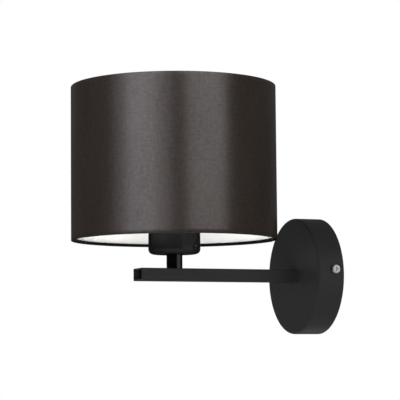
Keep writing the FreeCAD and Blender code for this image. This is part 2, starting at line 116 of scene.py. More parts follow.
class ShadeSizes(bpy.types.PropertyGroup):
    """Sizes of the cloth drum."""
    radius: bpy.props.FloatProperty(
        name="Radius", description="Outer radius of the cloth", default=cloth_high.x, unit="LENGTH",
        precision=4)
    cloth: bpy.props.FloatProperty(
        name="Cloth", description="Thickness of the cloth", default=0.5 * MM, unit="LENGTH",
        precision=5)
    lining: bpy.props.FloatProperty(
        name="Lining", description="Thickness of the white lining", default=0.4 * MM, unit="LENGTH",
        precision=5)
    lap: bpy.props.FloatProperty(
        name="Seam lap", description="Width of the glued seam on the wall side", default=10 * MM,
        unit="LENGTH", precision=4)
    rows: bpy.props.IntProperty(
        name="Rows", description="Rows of faces up the drum", default=36, min=4)
    steps: bpy.props.IntProperty(
        name="Steps", description="Faces round the drum", default=240, min=48)


class SocketSizes(bpy.types.PropertyGroup):
    """Sizes of the rolled lamp thread."""
    pitch: bpy.props.FloatProperty(
        name="Pitch", description="Rise of the thread in one turn", default=3.63 * MM, unit="LENGTH",
        precision=5)
    crest: bpy.props.FloatProperty(
        name="Crest", description="Smallest inner radius of the thread", default=13.2 * MM,
        unit="LENGTH", precision=5)
    depth: bpy.props.FloatProperty(
        name="Depth", description="Depth of the rolled thread", default=0.95 * MM, unit="LENGTH",
        precision=5)
    sheet: bpy.props.FloatProperty(
        name="Sheet", description="Thickness of the brass", default=0.35 * MM, unit="LENGTH",
        precision=5)


class Finishes(bpy.types.PropertyGroup):
    """Colours of the cloth and of the painted parts."""
    # The cloth's tone runs between these two colours with its uneven yarns, and also with painted
    # shade: darker in the weave's hollows, lighter on the threads' crowns.
    cloth_dark: bpy.props.FloatVectorProperty(
        name="Cloth, dark threads", description="Colour in the hollows of the weave", subtype="COLOR",
        default=(0.0213, 0.0166, 0.0134), min=0, max=1)
    cloth_light: bpy.props.FloatVectorProperty(
        name="Cloth, light threads", description="Colour of the raised threads", subtype="COLOR",
        default=(0.0288, 0.0226, 0.0182), min=0, max=1)
    hem: bpy.props.FloatVectorProperty(
        name="Hem", description="Colour of the turned-in hems", subtype="COLOR",
        default=(0.007, 0.006, 0.0055), min=0, max=1)
    lining: bpy.props.FloatVectorProperty(
        name="Lining", description="Colour of the shade's lining", subtype="COLOR",
        default=(0.90, 0.89, 0.865), min=0, max=1)
    coat: bpy.props.FloatVectorProperty(
        name="Black coat", description="Colour of the arm and the rose", subtype="COLOR",
        default=(0.0236, 0.0236, 0.0239), min=0, max=1)
    cup: bpy.props.FloatVectorProperty(
        name="Cup paint", description="Colour of the cup under the shade", subtype="COLOR",
        default=(0.0270, 0.0270, 0.0272), min=0, max=1)
    gloss: bpy.props.FloatVectorProperty(
        name="Black gloss", description="Colour of the post", subtype="COLOR",
        default=(0.0018, 0.0018, 0.0018), min=0, max=1)


class Studio(bpy.types.PropertyGroup):
    """Camera, lamps and floor."""
    camera_place: bpy.props.FloatVectorProperty(
        name="Camera place", description="Where the camera stands", subtype="TRANSLATION",
        default=(1.59157, -0.79676, -0.08650))
    camera_turn: bpy.props.FloatVectorProperty(
        name="Camera turn", description="Turn of the camera about X, Y and Z", subtype="EULER",
        default=(math.radians(95.2980), math.radians(0.5003), math.radians(67.2270)))
    lens: bpy.props.FloatProperty(
        name="Lens", description="Focal length on a 36 mm sensor, in millimetres", default=159.5,
        unit="CAMERA")
    floor_drop: bpy.props.FloatProperty(
        name="Floor drop", description="Distance of the floor below the rose's centre", default=1.2,
        unit="LENGTH")
    floor_glow: bpy.props.FloatProperty(
        name="Floor glow", description="Brightness that the camera alone sees added to the floor",
        default=0.4, min=0)
    right_lamp: bpy.props.FloatProperty(
        name="Right lamp", description="Power of the shade's lamp on the right", default=13.8,
        unit="POWER")
    left_lamp: bpy.props.FloatProperty(
        name="Left lamp", description="Power of the shade's lamp on the left", default=12.6,
        unit="POWER")
    side_lamp: bpy.props.FloatProperty(
        name="Side lamp", description="Power of the lamp beside the arm and the rose", default=10.4,
        unit="POWER")
    front_lamp: bpy.props.FloatProperty(
        name="Front lamp", description="Power of the lamp that fills the arm and the rose",
        default=12.4, unit="POWER")
    grazing_lamp: bpy.props.FloatProperty(
        name="Grazing lamp", description="Power of the lamp that the rose's face mirrors", default=0.8,
        unit="POWER")
    face_lamp: bpy.props.FloatProperty(
        name="Face lamp", description="Power of the lamp that fills the rose's face", default=3.6,
        unit="POWER")
    cup_lamp: bpy.props.FloatProperty(
        name="Cup lamp", description="Power of the lamp that fills the cup's underside", default=5.2,
        unit="POWER")
    lining_lamp: bpy.props.FloatProperty(
        name="Lining lamps", description="Power that the lamps filling the shade take shares of",
        default=9.4, unit="POWER")
    room: bpy.props.FloatProperty(
        name="Room light", description="Brightness of the plain room round the light", default=0.5,
        min=0)
    mirrored_room: bpy.props.FloatProperty(
        name="Mirrored room", description="Brightness of the dark side of the room in gloss",
        default=0.01, min=0)
    mirrored_backdrop: bpy.props.FloatProperty(
        name="Mirrored backdrop", description="Brightness of the backdrop in gloss", default=0.13,
        min=0)


# Modelling helpers

def select_only(piece):
    """Selects one piece and makes it the active one."""
    bpy.ops.object.select_all(action="DESELECT")
    piece.select_set(True)
    bpy.context.view_layer.objects.active = piece


def draw_line(name, points, closed):
    """A line of vertices through points, drawn by extruding one vertex after another."""
    bpy.ops.object.select_all(action="DESELECT")
    bpy.ops.mesh.primitive_plane_add(size=MM)
    piece = bpy.context.active_object
    piece.name = name
    piece.data.name = name
    bpy.ops.object.mode_set(mode="EDIT")
    bpy.ops.mesh.merge(type="CENTER")
    bpy.ops.transform.translate(value=points[0])
    for start, end in zip(points, points[1:]):
        bpy.ops.mesh.extrude_vertices_move(TRANSFORM_OT_translate={"value": end - start})
    if closed:
        sketch = bmesh.from_edit_mesh(piece.data)
        for vertex in sketch.verts:
            vertex.select = len(vertex.link_edges) == 1
        sketch.select_flush(True)
        bmesh.update_edit_mesh(piece.data)
        bpy.ops.mesh.edge_face_add()
    bpy.ops.mesh.select_all(action="SELECT")
    return piece


def close_and_face_outwards():
    """Merges doubles, fills open ends and turns all faces outwards, in edit mode."""
    bpy.ops.mesh.select_all(action="SELECT")
    bpy.ops.mesh.remove_doubles(threshold=0.002 * MM)
    bpy.ops.mesh.select_all(action="SELECT")
    bpy.ops.mesh.fill_holes(sides=0)
    bpy.ops.mesh.select_all(action="SELECT")
    bpy.ops.mesh.normals_make_consistent(inside=False)
    bpy.ops.object.mode_set(mode="OBJECT")


def put_on_axis(piece):
    """Moves a piece that was turned about the world's Z axis onto the shade's axis."""
    select_only(piece)
    bpy.ops.transform.translate(value=shade_axis)
    bpy.ops.object.transform_apply(location=True, rotation=True, scale=True)


def smooth(piece, degrees):
    """Smooth shading, with edges sharper than the angle kept crisp."""
    select_only(piece)
    bpy.ops.object.shade_smooth_by_angle(angle=math.radians(degrees))


def apply_modifiers(piece):
    """Applies every modifier in order."""
    select_only(piece)
    for modifier in list(piece.modifiers):
        bpy.ops.object.modifier_apply(modifier=modifier.name)


def wrapped_drum(name, profile, steps, lap, lift):
    """A sheet wrapped once round Z from +Y, whose end steps out by lift and lies over its start."""
    radius = profile[0].y
    step_length = 4 * MM
    parts = 5
    turn = {"center": (0, 0, 0), "axis": (0, 0, 1), "use_auto_merge": False}
    piece = draw_line(name, profile, True)
    bpy.ops.mesh.spin(steps=steps, angle=math.tau - step_length / radius, **turn)
    grow = (1 + lift / radius) ** (1 / parts)
    for _ in range(parts):
        bpy.ops.mesh.spin(steps=1, angle=step_length / radius / parts, **turn)
        bpy.ops.transform.resize(value=(grow, grow, 1), center_override=(0, 0, 0))
    bpy.ops.mesh.spin(steps=parts, angle=lap / radius, **turn)
    close_and_face_outwards()
    return piece


def turned_ring(name, profile, steps):
    """A closed profile turned once round Z from +Y."""
    piece = draw_line(name, profile, True)
    bpy.ops.mesh.spin(steps=steps, angle=math.tau, center=(0, 0, 0), axis=(0, 0, 1),
                      use_auto_merge=True)
    close_and_face_outwards()
    return piece


def unroll(piece):
    """Writes a UV map in metres: the way round the shade's axis from the seam, and the height."""
    mesh = piece.data
    layer = mesh.uv_layers.new(name="unrolled")
    mesh.uv_layers.active = layer
    level_face = 0.7
    for face in mesh.polygons:
        middle = face.center - shade_axis
        middle_turn = math.atan2(-middle.x, middle.y)
        for corner in face.loop_indices:
            place = mesh.vertices[mesh.loops[corner].vertex_index].co - shade_axis
            turn = math.atan2(-place.x, place.y)
            if turn - middle_turn > math.pi:
                turn -= math.tau
            if turn - middle_turn < -math.pi:
                turn += math.tau
            radius = math.hypot(place.x, place.y)
            across = (cloth_high.x - radius) if abs(face.normal.z) > level_face else 0.0
            layer.data[corner].uv = (turn * cloth_high.x, place.z + across)


def push_out(vertex, amount):
    """Moves a vertex away from the shade's axis."""
    place = vertex.co - shade_axis
    radius = math.hypot(place.x, place.y)
    vertex.co.x += place.x / radius * amount
    vertex.co.y += place.y / radius * amount


def ripple(piece, amount):
    """Lets a sheet stand off its backing by up to amount, in long soft waves."""
    for vertex in piece.data.vertices:
        place = vertex.co - shade_axis
        turn = math.atan2(place.y, place.x)
        wave = (math.sin(5 * turn + 0.7) + math.sin(9 * turn + 31 * place.z + 2.1)
                + math.sin(14 * turn - 47 * place.z + 0.4))
        push_out(vertex, amount * (wave + 3) / 6)


def dress(piece, body, material, replaced):
    """Gives a finished piece its body, slot and material, and hides the node it stands for."""
    piece.data.materials.clear()
    piece.data.materials.append(material)
    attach(piece, body)
    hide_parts(replaced)


# Shader groups

def shader_group(name, inputs, outputs):
    """An empty node group with named sockets, given as (name, type, default)."""
    group = bpy.data.node_groups.new(name, "ShaderNodeTree")
    for socket_name, kind, value in inputs:
        socket = group.interface.new_socket(name=socket_name, in_out="INPUT", socket_type=kind)
        if value is not None:
            socket.default_value = value
    for socket_name, kind in outputs:
        group.interface.new_socket(name=socket_name, in_out="OUTPUT", socket_type=kind)
    return group, group.nodes.new("NodeGroupInput"), group.nodes.new("NodeGroupOutput")


def feed(tree, value, target):
    """Feeds a socket from another socket, or sets it to a plain value."""
    if isinstance(value, bpy.types.NodeSocket):
        tree.links.new(value, target)
    else:
        target.default_value = value


def math_node(tree, operation, first, second=None):
    """A Math node whose inputs are sockets or numbers. Returns its output."""
    node = tree.nodes.new("ShaderNodeMath")
    node.operation = operation
    feed(tree, first, node.inputs[0])
    if second is not None:
        feed(tree, second, node.inputs[1])
    return node.outputs[0]


def stretched(tree, vector, stretch):
    """Coordinates multiplied by a stretch along each axis."""
    node = tree.nodes.new("ShaderNodeVectorMath")
    node.operation = "MULTIPLY"
    feed(tree, vector, node.inputs[0])
    feed(tree, stretch, node.inputs[1])
    return node.outputs[0]


def noise(tree, vector, scale, detail):
    """Noise with so many patches per metre. Returns a value about 0.5."""
    node = tree.nodes.new("ShaderNodeTexNoise")
    node.inputs["Detail"].default_value = detail
    feed(tree, scale, node.inputs["Scale"])
    feed(tree, vector, node.inputs["Vector"])
    return node.outputs["Fac"]


def weave_group():
    """Satin weave: fine threads, long floats, and uneven yarns both ways, with painted shade in the
    hollows between threads.
    """
    group, given, made = shader_group(
        "Satin weave",
        [("Vector", "NodeSocketVector", None), ("Thread", "NodeSocketFloat", 0.28 * MM),
         ("Slubs", "NodeSocketFloat", 0.5)],
        [("Height", "NodeSocketFloat"), ("Tone", "NodeSocketFloat")])
    vector = given.outputs["Vector"]
    thread = given.outputs["Thread"]

    def calc(operation, first, second=None):
        return math_node(group, operation, first, second)

    def rounded(threads):
        return calc("ABSOLUTE", calc("SINE", calc("MULTIPLY", threads, math.pi)))

    # A cross thread comes up over every fifth upright thread, two further on in each row
    repeat = 5.0
    shift = 2.0
    split = group.nodes.new("ShaderNodeSeparateXYZ")
    group.links.new(vector, split.inputs[0])
    across = calc("DIVIDE", split.outputs["X"], thread)
    along = calc("DIVIDE", split.outputs["Y"], thread)
    cell = calc("ADD", calc("FLOOR", across), calc("MULTIPLY", calc("FLOOR", along), shift))
    tied = calc("LESS_THAN", calc("FLOORED_MODULO", cell, repeat), 0.5)
    height = calc("ADD", calc("MULTIPLY", rounded(along), tied),
                  calc("MULTIPLY", rounded(across), calc("SUBTRACT", 1.0, tied)))

    # Uneven yarns up and across the cloth, flecks and broad clouds, in patches per metre
    mean_height = 0.6
    relief = 0.3
    contrast = 9.0
    upright = noise(group, stretched(group, vector, (600, 70, 1)), scale=1.0, detail=2.0)
    level = noise(group, stretched(group, vector, (150, 560, 1)), scale=1.0, detail=2.0)
    fleck = noise(group, stretched(group, vector, (340, 320, 1)), scale=1.0, detail=2.0)
    broad = noise(group, stretched(group, vector, (30, 9, 1)), scale=1.0, detail=1.0)
    yarns = calc("ADD", calc("ADD", upright, level), calc("ADD", fleck, broad))
    centred = calc("SUBTRACT", calc("MULTIPLY", yarns, 0.25), 0.5)
    uneven = calc("MULTIPLY", centred, calc("MULTIPLY", given.outputs["Slubs"], contrast))
    # Painted shade: the tone follows each thread's height, darker in the hollows between threads and
    # lighter on their crowns.
    painted_hollow_shade = calc("MULTIPLY", calc("SUBTRACT", height, mean_height), relief)
    clamp = group.nodes.new("ShaderNodeClamp")
    group.links.new(calc("ADD", calc("ADD", uneven, painted_hollow_shade), 0.5), clamp.inputs["Value"])
    group.links.new(calc("ADD", calc("MULTIPLY", height, relief), uneven), made.inputs["Height"])
    group.links.new(clamp.outputs[0], made.inputs["Tone"])


def mixed_tones(group, made, fine, cloud, share):
    """Puts out fine noise as height, and a share of it mixed with clouds as tone."""
    tone = math_node(group, "ADD", math_node(group, "MULTIPLY", fine, share),
                     math_node(group, "MULTIPLY", cloud, 1 - share))
    group.links.new(fine, made.inputs["Height"])
    group.links.new(tone, made.inputs["Tone"])


def grain_group():
    """Small even bumps, as in powder coat and moulded plastic."""
    group, given, made = shader_group(
        "Fine grain",
        [("Vector", "NodeSocketVector", None), ("Size", "NodeSocketFloat", 0.5 * MM)],
        [("Height", "NodeSocketFloat"), ("Tone", "NodeSocketFloat")])
    grains_in_a_cloud = 60.0
    scale = math_node(group, "DIVIDE", 1.0, given.outputs["Size"])
    cloud_scale = math_node(group, "DIVIDE", scale, grains_in_a_cloud)
    fine = noise(group, given.outputs["Vector"], scale, detail=3.0)
    cloud = noise(group, given.outputs["Vector"], cloud_scale, detail=2.0)
    mixed_tones(group, made, fine, cloud, share=0.5)


def plating_group():
    """Cloudy plating with fine drawn lines."""
    group, given, made = shader_group(
        "Plated metal",
        [("Vector", "NodeSocketVector", None), ("Direction", "NodeSocketVector", (1.0, 1.0, 1.0))],
        [("Height", "NodeSocketFloat"), ("Tone", "NodeSocketFloat")])
    drawn = stretched(group, given.outputs["Vector"], given.outputs["Direction"])
    lines = noise(group, drawn, scale=900.0, detail=3.0)
    cloud = noise(group, given.outputs["Vector"], scale=120.0, detail=3.0)
    mixed_tones(group, made, lines, cloud, share=0.4)


# Materials

def new_material(name):
    """A node material with its Principled shader."""
    material = bpy.data.materials.new(name)
    material.use_nodes = True
    tree = material.node_tree
    return material, tree, tree.nodes["Principled BSDF"]


def place_group(tree, name, vector, **values):
    """Places a shader group in a material, fed with a vector and its own values."""
    node = tree.nodes.new("ShaderNodeGroup")
    node.node_tree = bpy.data.node_groups[name]
    tree.links.new(vector, node.inputs["Vector"])
    for socket_name, value in values.items():
        node.inputs[socket_name].default_value = value
    return node


def object_place(tree):
    """Coordinates of the piece itself."""
    return tree.nodes.new("ShaderNodeTexCoord").outputs["Object"]


def colour_between(tree, factor, dark, light, target):
    """Feeds target with a colour between dark and light."""
    mix = tree.nodes.new("ShaderNodeMix")
    mix.data_type = "RGBA"
    mix.inputs["A"].default_value = (*dark, 1)
    mix.inputs["B"].default_value = (*light, 1)
    tree.links.new(factor, mix.inputs["Factor"])
    tree.links.new(mix.outputs["Result"], target)


def value_between(tree, factor, low, high, target):
    """Feeds target with a value between low and high."""
    spread = tree.nodes.new("ShaderNodeMapRange")
    spread.inputs["To Min"].default_value = low
    spread.inputs["To Max"].default_value = high
    tree.links.new(factor, spread.inputs["Value"])
    tree.links.new(spread.outputs["Result"], target)


def bump(tree, height, strength, distance, target):
    """Feeds a normal socket from a height."""
    node = tree.nodes.new("ShaderNodeBump")
    node.inputs["Strength"].default_value = strength
    node.inputs["Distance"].default_value = distance
    tree.links.new(height, node.inputs["Height"])
    tree.links.new(node.outputs["Normal"], target)


def scaled(colour, factor):
    """A colour made darker or lighter."""
    return tuple(min(1.0, c * factor) for c in colour)


def cloth_material(name, dark, light, shine_roughness, shine_index, slubs):
    """Woven cloth on the unrolled map. The threads' satin shine is a coat that varies with them."""
    material, tree, shader = new_material(name)
    unrolled = tree.nodes.new("ShaderNodeUVMap")
    unrolled.uv_map = "unrolled"
    threads = place_group(tree, "Satin weave", unrolled.outputs["UV"], Slubs=slubs)
    # The colour follows the weave's tone, which holds painted shade in the hollows between threads as
    # well as uneven yarns.
    colour_between(tree, threads.outputs["Tone"], dark, light, shader.inputs["Base Color"])
    shader.inputs["Roughness"].default_value = 0.9
    shader.inputs["Specular IOR Level"].default_value = 0.0
    value_between(tree, threads.outputs["Tone"], low=0.68, high=1.0,
                  target=shader.inputs["Coat Weight"])
    shader.inputs["Coat Roughness"].default_value = shine_roughness
    shader.inputs["Coat IOR"].default_value = shine_index
    bump(tree, threads.outputs["Height"], strength=0.5, distance=0.02 * MM,
         target=shader.inputs["Normal"])
    return material


def coated_material(name, colour, roughness, specular, grain, strength, metallic=0.0, rim=1.0):
    """Painted or moulded surface with a grain of the given size and bump strength.
    A rim below 1 dulls a metallic paint where it is seen edge on."""
    material, tree, shader = new_material(name)
    surface = place_group(tree, "Fine grain", object_place(tree), Size=grain)
    colour_between(tree, surface.outputs["Tone"], scaled(colour, 0.86), scaled(colour, 1.14),
                   shader.inputs["Base Color"])
    value_between(tree, surface.outputs["Tone"], roughness - 0.04, roughness + 0.04,
                  shader.inputs["Roughness"])
    shader.inputs["Specular IOR Level"].default_value = specular
    shader.inputs["Metallic"].default_value = metallic
    shader.inputs["Specular Tint"].default_value = (rim, rim, rim, 1)
    bump(tree, surface.outputs["Height"], strength, distance=0.05 * MM, target=shader.inputs["Normal"])
    return material


def metal_material(name, colour, roughness, lines, strength):
    """Bare or plated metal with clouds and with fine lines, long on the axes that lines makes small."""
    material, tree, shader = new_material(name)
    surface = place_group(tree, "Plated metal", object_place(tree), Direction=lines)
    colour_between(tree, surface.outputs["Tone"], scaled(colour, 0.82), scaled(colour, 1.12),
                   shader.inputs["Base Color"])
    value_between(tree, surface.outputs["Tone"], roughness - 0.06, roughness + 0.06,
                  shader.inputs["Roughness"])
    shader.inputs["Metallic"].default_value = 1.0
    bump(tree, surface.outputs["Height"], strength, distance=0.03 * MM, target=shader.inputs["Normal"])
    return material


def striped_insulation(name, first, second):
    """Two-coloured wire insulation with stripes along the wire."""
    material, tree, shader = new_material(name)
    place = object_place(tree)
    surface = place_group(tree, "Fine grain", place, Size=0.3 * MM)
    split = tree.nodes.new("ShaderNodeSeparateXYZ")
    tree.links.new(place, split.inputs[0])
    side = math_node(tree, "ADD", split.outputs["X"], split.outputs["Y"])
    stripes = 2400.0
    band = math_node(tree, "SINE", math_node(tree, "MULTIPLY", side, stripes))
    colour_between(tree, math_node(tree, "GREATER_THAN", band, 0.2), first, second,
                   shader.inputs["Base Color"])
    value_between(tree, surface.outputs["Tone"], low=0.36, high=0.46, target=shader.inputs["Roughness"])
    bump(tree, surface.outputs["Height"], strength=0.15, distance=0.03 * MM,
         target=shader.inputs["Normal"])
    return material


def cover_nodes(material, *names):
    """Gives CAD nodes a material in place of the one they came with."""
    for name in names:
        node = nodes[name]
        node.data.materials.clear()
        node.data.materials.append(material)


# Pieces of the shade

def rounded_sheet_profile(inner, outer, low, high, rows, edge):
    """Upright strip of cloth as seen in section, with soft edges, in the plane x = 0."""
    soft = 0.3 * edge
    points = [(inner, low), (outer - edge, low), (outer - soft, low + soft), (outer, low + edge)]
    for row in range(1, rows):
        points.append((outer, low + edge + (high - low - 2 * edge) * row / rows))
    points += [(outer, high - edge), (outer - soft, high - soft), (outer - edge, high), (inner, high)]
    for row in range(rows - 1, 0, -1):
        points.append((inner, low + (high - low) * row / rows))
    return [Vector((0, r, z)) for r, z in points]


class LIGHT_OT_shade_cloth(bpy.types.Operator):
    """Wraps the cloth round the drum, with its glued seam on the wall side"""
    bl_idname = "wall_light.shade_cloth"
    bl_label = "Shade cloth"

    def execute(self, context):
        sizes = context.scene.light_shade
        colours = context.scene.light_finishes
        outer = sizes.radius
        glue = 0.05 * MM
        profile = rounded_sheet_profile(outer - sizes.cloth, outer, cloth_low.z, cloth_high.z,
                                        sizes.rows, edge=0.25 * MM)
        piece = wrapped_drum("shade_cloth", profile, sizes.steps, sizes.lap, sizes.cloth + glue)
        put_on_axis(piece)
        ripple(piece, amount=0.06 * MM)
        unroll(piece)
        smooth(piece, degrees=50)
        material = cloth_material("shade_cloth", colours.cloth_dark, colours.cloth_light,
                                  shine_roughness=0.28, shine_index=1.644, slubs=0.5)
        dress(piece, "shade", material, "shade_fabric")
        return {"FINISHED"}


class LIGHT_OT_shade_lining(bpy.types.Operator):
    """Adds the white laminate inside the cloth, with its own narrow lap"""
    bl_idname = "wall_light.shade_lining"
    bl_label = "Shade lining"

    def execute(self, context):
        sizes = context.scene.light_shade
        outer = sizes.radius - sizes.cloth
        inner = outer - sizes.lining
        glue = 0.02 * MM
        lap = 0.6 * sizes.lap
        profile = rounded_sheet_profile(inner, outer, lining_low.z, lining_high.z, sizes.rows,
                                        edge=0.1 * MM)
        piece = wrapped_drum("shade_lining_sheet", profile, sizes.steps, lap, -sizes.lining - glue)
        put_on_axis(piece)
        unroll(piece)
        smooth(piece, degrees=50)
        material = coated_material("white_laminate", context.scene.light_finishes.lining,
                                   roughness=0.5, specular=0.4, grain=0.4 * MM, strength=0.12)
        dress(piece, "shade", material, "shade_lining")
        return {"FINISHED"}


class LIGHT_OT_shade_hems(bpy.types.Operator):
    """Folds the hems in over the two wire rings and notches the lower one at the spokes"""
    bl_idname = "wall_light.shade_hems"
    bl_label = "Shade hems"

    def execute(self, context):
        sizes = context.scene.light_shade
        colour = context.scene.light_finishes.hem
        # The hems take the same weave, with its painted shade in the hollows between threads.
        material = cloth_material("hem_cloth", scaled(colour, 0.7), scaled(colour, 1.5),
                                  shine_roughness=0.7, shine_index=1.25, slubs=0.6)
        section = self.section(sizes)
        for name, node, edge, up in (("hem_lower", "shade_bottom_hem", cloth_low.z, 1),
                                     ("hem_upper", "shade_top_hem", cloth_high.z, -1)):
            profile = [Vector((0, radius, edge + up * rise)) for radius, rise in section]
            piece = turned_ring(name, profile, sizes.steps)
            put_on_axis(piece)
            pucker(piece, edge, up)
            if up > 0:
                notch(piece)
            unroll(piece)
            smooth(piece, degrees=45)
            dress(piece, "shade", material, node)
        return {"FINISHED"}

    @staticmethod
    def section(sizes):
        """The hem in section, from the cloth in under the wire and round it, as radius and rise."""
        cloth = sizes.radius - sizes.cloth
        wire = (wire_high.z - wire_low.z) / 2
        ring = wire_high.x - wire
        rise = abs(wire_low.z + wire - cloth_low.z)
        sheet = 0.35 * MM
        reach = wire + 0.08 * MM
        turns = [math.radians(degrees) for degrees in range(-90, -214, -12)]

        def arc(radius):
            return [(ring + radius * math.cos(turn), rise + radius * math.sin(turn)) for turn in turns]

        return [(cloth, 0.42 * MM)] + arc(reach) + arc(reach + sheet)[::-1] + [(cloth, 0.02 * MM)]


def pucker(piece, edge, up):
    """Lets the free edge of a hem gather slightly, as cloth does when it is turned over a wire."""
    flat_rise = 2.2 * MM
    ramp = 1.4 * MM
    depth = 0.05 * MM
    scallop = 0.06 * MM
    for vertex in piece.data.vertices:
        place = vertex.co - shade_axis
        rise = up * (place.z - edge)
        if rise < flat_rise:
            continue
        turn = math.atan2(place.y, place.x)
        share = min(1.0, (rise - flat_rise) / ramp)
        gather = math.sin(67 * turn) + 0.6 * math.sin(113 * turn + 1.3)
        push_out(vertex, -share * depth * (gather + 1.6))
        vertex.co.z += up * share * scallop * gather


def notch(hem):
    """Cuts a small gap in the lower hem where each spoke reaches the wire ring."""
    end_length = 2 * MM
    turn_between_spokes = 0.5
    places = [vertex.co - shade_axis for vertex in nodes["shade_fitter"].data.vertices]
    reach = max(math.hypot(p.x, p.y) for p in places)
    ends = [p for p in places if math.hypot(p.x, p.y) > reach - end_length]
    height = sum(p.z for p in ends) / len(ends)
    turns = sorted(math.atan2(p.y, p.x) for p in ends)
    groups = [[turns[0]]]
    for turn in turns[1:]:
        if turn - groups[-1][-1] > turn_between_spokes:
            groups.append([])
        groups[-1].append(turn)
    for group in groups:
        turn = (group[0] + group[-1]) / 2
        bpy.ops.object.select_all(action="DESELECT")
        bpy.ops.mesh.primitive_cylinder_add(
            vertices=24, radius=1.85 * MM, depth=9 * MM,
            location=(shade_axis.x + (reach - end_length) * math.cos(turn),
                      shade_axis.y + (reach - end_length) * math.sin(turn), height + 0.2 * MM),
            rotation=(0, math.radians(90), turn))
        cutter = bpy.context.active_object
        cut = hem.modifiers.new("Notch", "BOOLEAN")
        cut.operation = "DIFFERENCE"
        cut.solver = "EXACT"
        cut.object = cutter
        apply_modifiers(hem)
        bpy.data.objects.remove(cutter, do_unlink=True)


class LIGHT_OT_socket_thread(bpy.types.Operator):
    """Rolls the brass lamp thread and cuts it level at both ends"""
    bl_idname = "wall_light.socket_thread"
    bl_label = "Socket thread"

    def execute(self, context):
        sizes = context.scene.light_socket
        doubles = 0.01 * MM
        lower_cut = socket_low.z + 0.7 * MM
        upper_cut = socket_high.z - 0.3 * MM
        piece = draw_line("socket_thread", self.wave(sizes), False)
        bpy.ops.object.mode_set(mode="OBJECT")
        screw = piece.modifiers.new("Thread", "SCREW")
        screw.axis = "Z"
        screw.angle = math.tau
        screw.screw_offset = sizes.pitch
        screw.iterations = int((socket_high.z - socket_low.z) / sizes.pitch) + 3
        screw.steps = 64
        screw.render_steps = 64
        screw.use_merge_vertices = True
        screw.merge_threshold = doubles
        apply_modifiers(piece)
        bpy.ops.object.mode_set(mode="EDIT")
        bpy.ops.mesh.select_all(action="SELECT")
        bpy.ops.mesh.remove_doubles(threshold=doubles)
        for level, side in ((lower_cut, -1), (upper_cut, 1)):
            bpy.ops.mesh.select_all(action="SELECT")
            bpy.ops.mesh.bisect(plane_co=(0, 0, level), plane_no=(0, 0, side), clear_outer=True)
        seat = 14.0 * MM
        flange = 15.4 * MM
        lower_seat = socket_low.z + 0.3 * MM
        self.turn_rim_out(piece, lower_cut, lower_seat, (seat, flange))
        self.turn_rim_out(piece, upper_cut, socket_high.z - 0.05 * MM, (seat,))
        bpy.ops.mesh.select_all(action="SELECT")
        bpy.ops.mesh.normals_make_consistent(inside=False)
        bpy.ops.object.mode_set(mode="OBJECT")
        wall = piece.modifiers.new("Sheet", "SOLIDIFY")
        wall.thickness = sizes.sheet
        wall.offset = 0
        apply_modifiers(piece)
        put_on_axis(piece)
        bpy.ops.object.mode_set(mode="EDIT")
        close_and_face_outwards()
        smooth(piece, degrees=60)
        material = metal_material("rolled_brass", (0.72, 0.53, 0.26), roughness=0.3,
                                  lines=(1, 1, 0.05), strength=0.05)
        dress(piece, "base", material, "lamp_shell")
        return {"FINISHED"}

    @staticmethod
    def wave(sizes):
        """One turn's rise of the thread in section, starting two turns below the socket's end."""
        count = 12
        line = []
        for i in range(count + 1):
            swell = (1 - math.cos(math.tau * i / count)) / 2
            line.append(Vector((sizes.crest + sizes.depth * swell, 0,
                                socket_low.z - sizes.pitch * (2 - i / count))))
        return line

    @staticmethod
    def turn_rim_out(piece, cut, level, radii):
        """Extrudes the rim at a cut onto level circles, one after another."""
        outline = bmesh.from_edit_mesh(piece.data)
        for edge in outline.edges:
            at_cut = all(abs(vertex.co.z - cut) < 0.02 * MM for vertex in edge.verts)
            edge.select = edge.is_boundary and at_cut
        outline.select_flush(True)
        bmesh.update_edit_mesh(piece.data)
        for radius in radii:
            bpy.ops.mesh.extrude_edges_move()
            outline = bmesh.from_edit_mesh(piece.data)
            for vertex in outline.verts:
                if vertex.select:
                    here = math.hypot(vertex.co.x, vertex.co.y)
                    vertex.co.x *= radius / here
                    vertex.co.y *= radius / here
                    vertex.co.z = level
            bmesh.update_edit_mesh(piece.data)


# Finishes of the carried-over parts

class LIGHT_OT_shader_groups(bpy.types.Operator):
    """Makes the weave, grain and plating that the materials share"""
    bl_idname = "wall_light.shader_groups"
    bl_label = "Shared shader groups"

    def execute(self, context):
        weave_group()
        grain_group()
        plating_group()
        return {"FINISHED"}


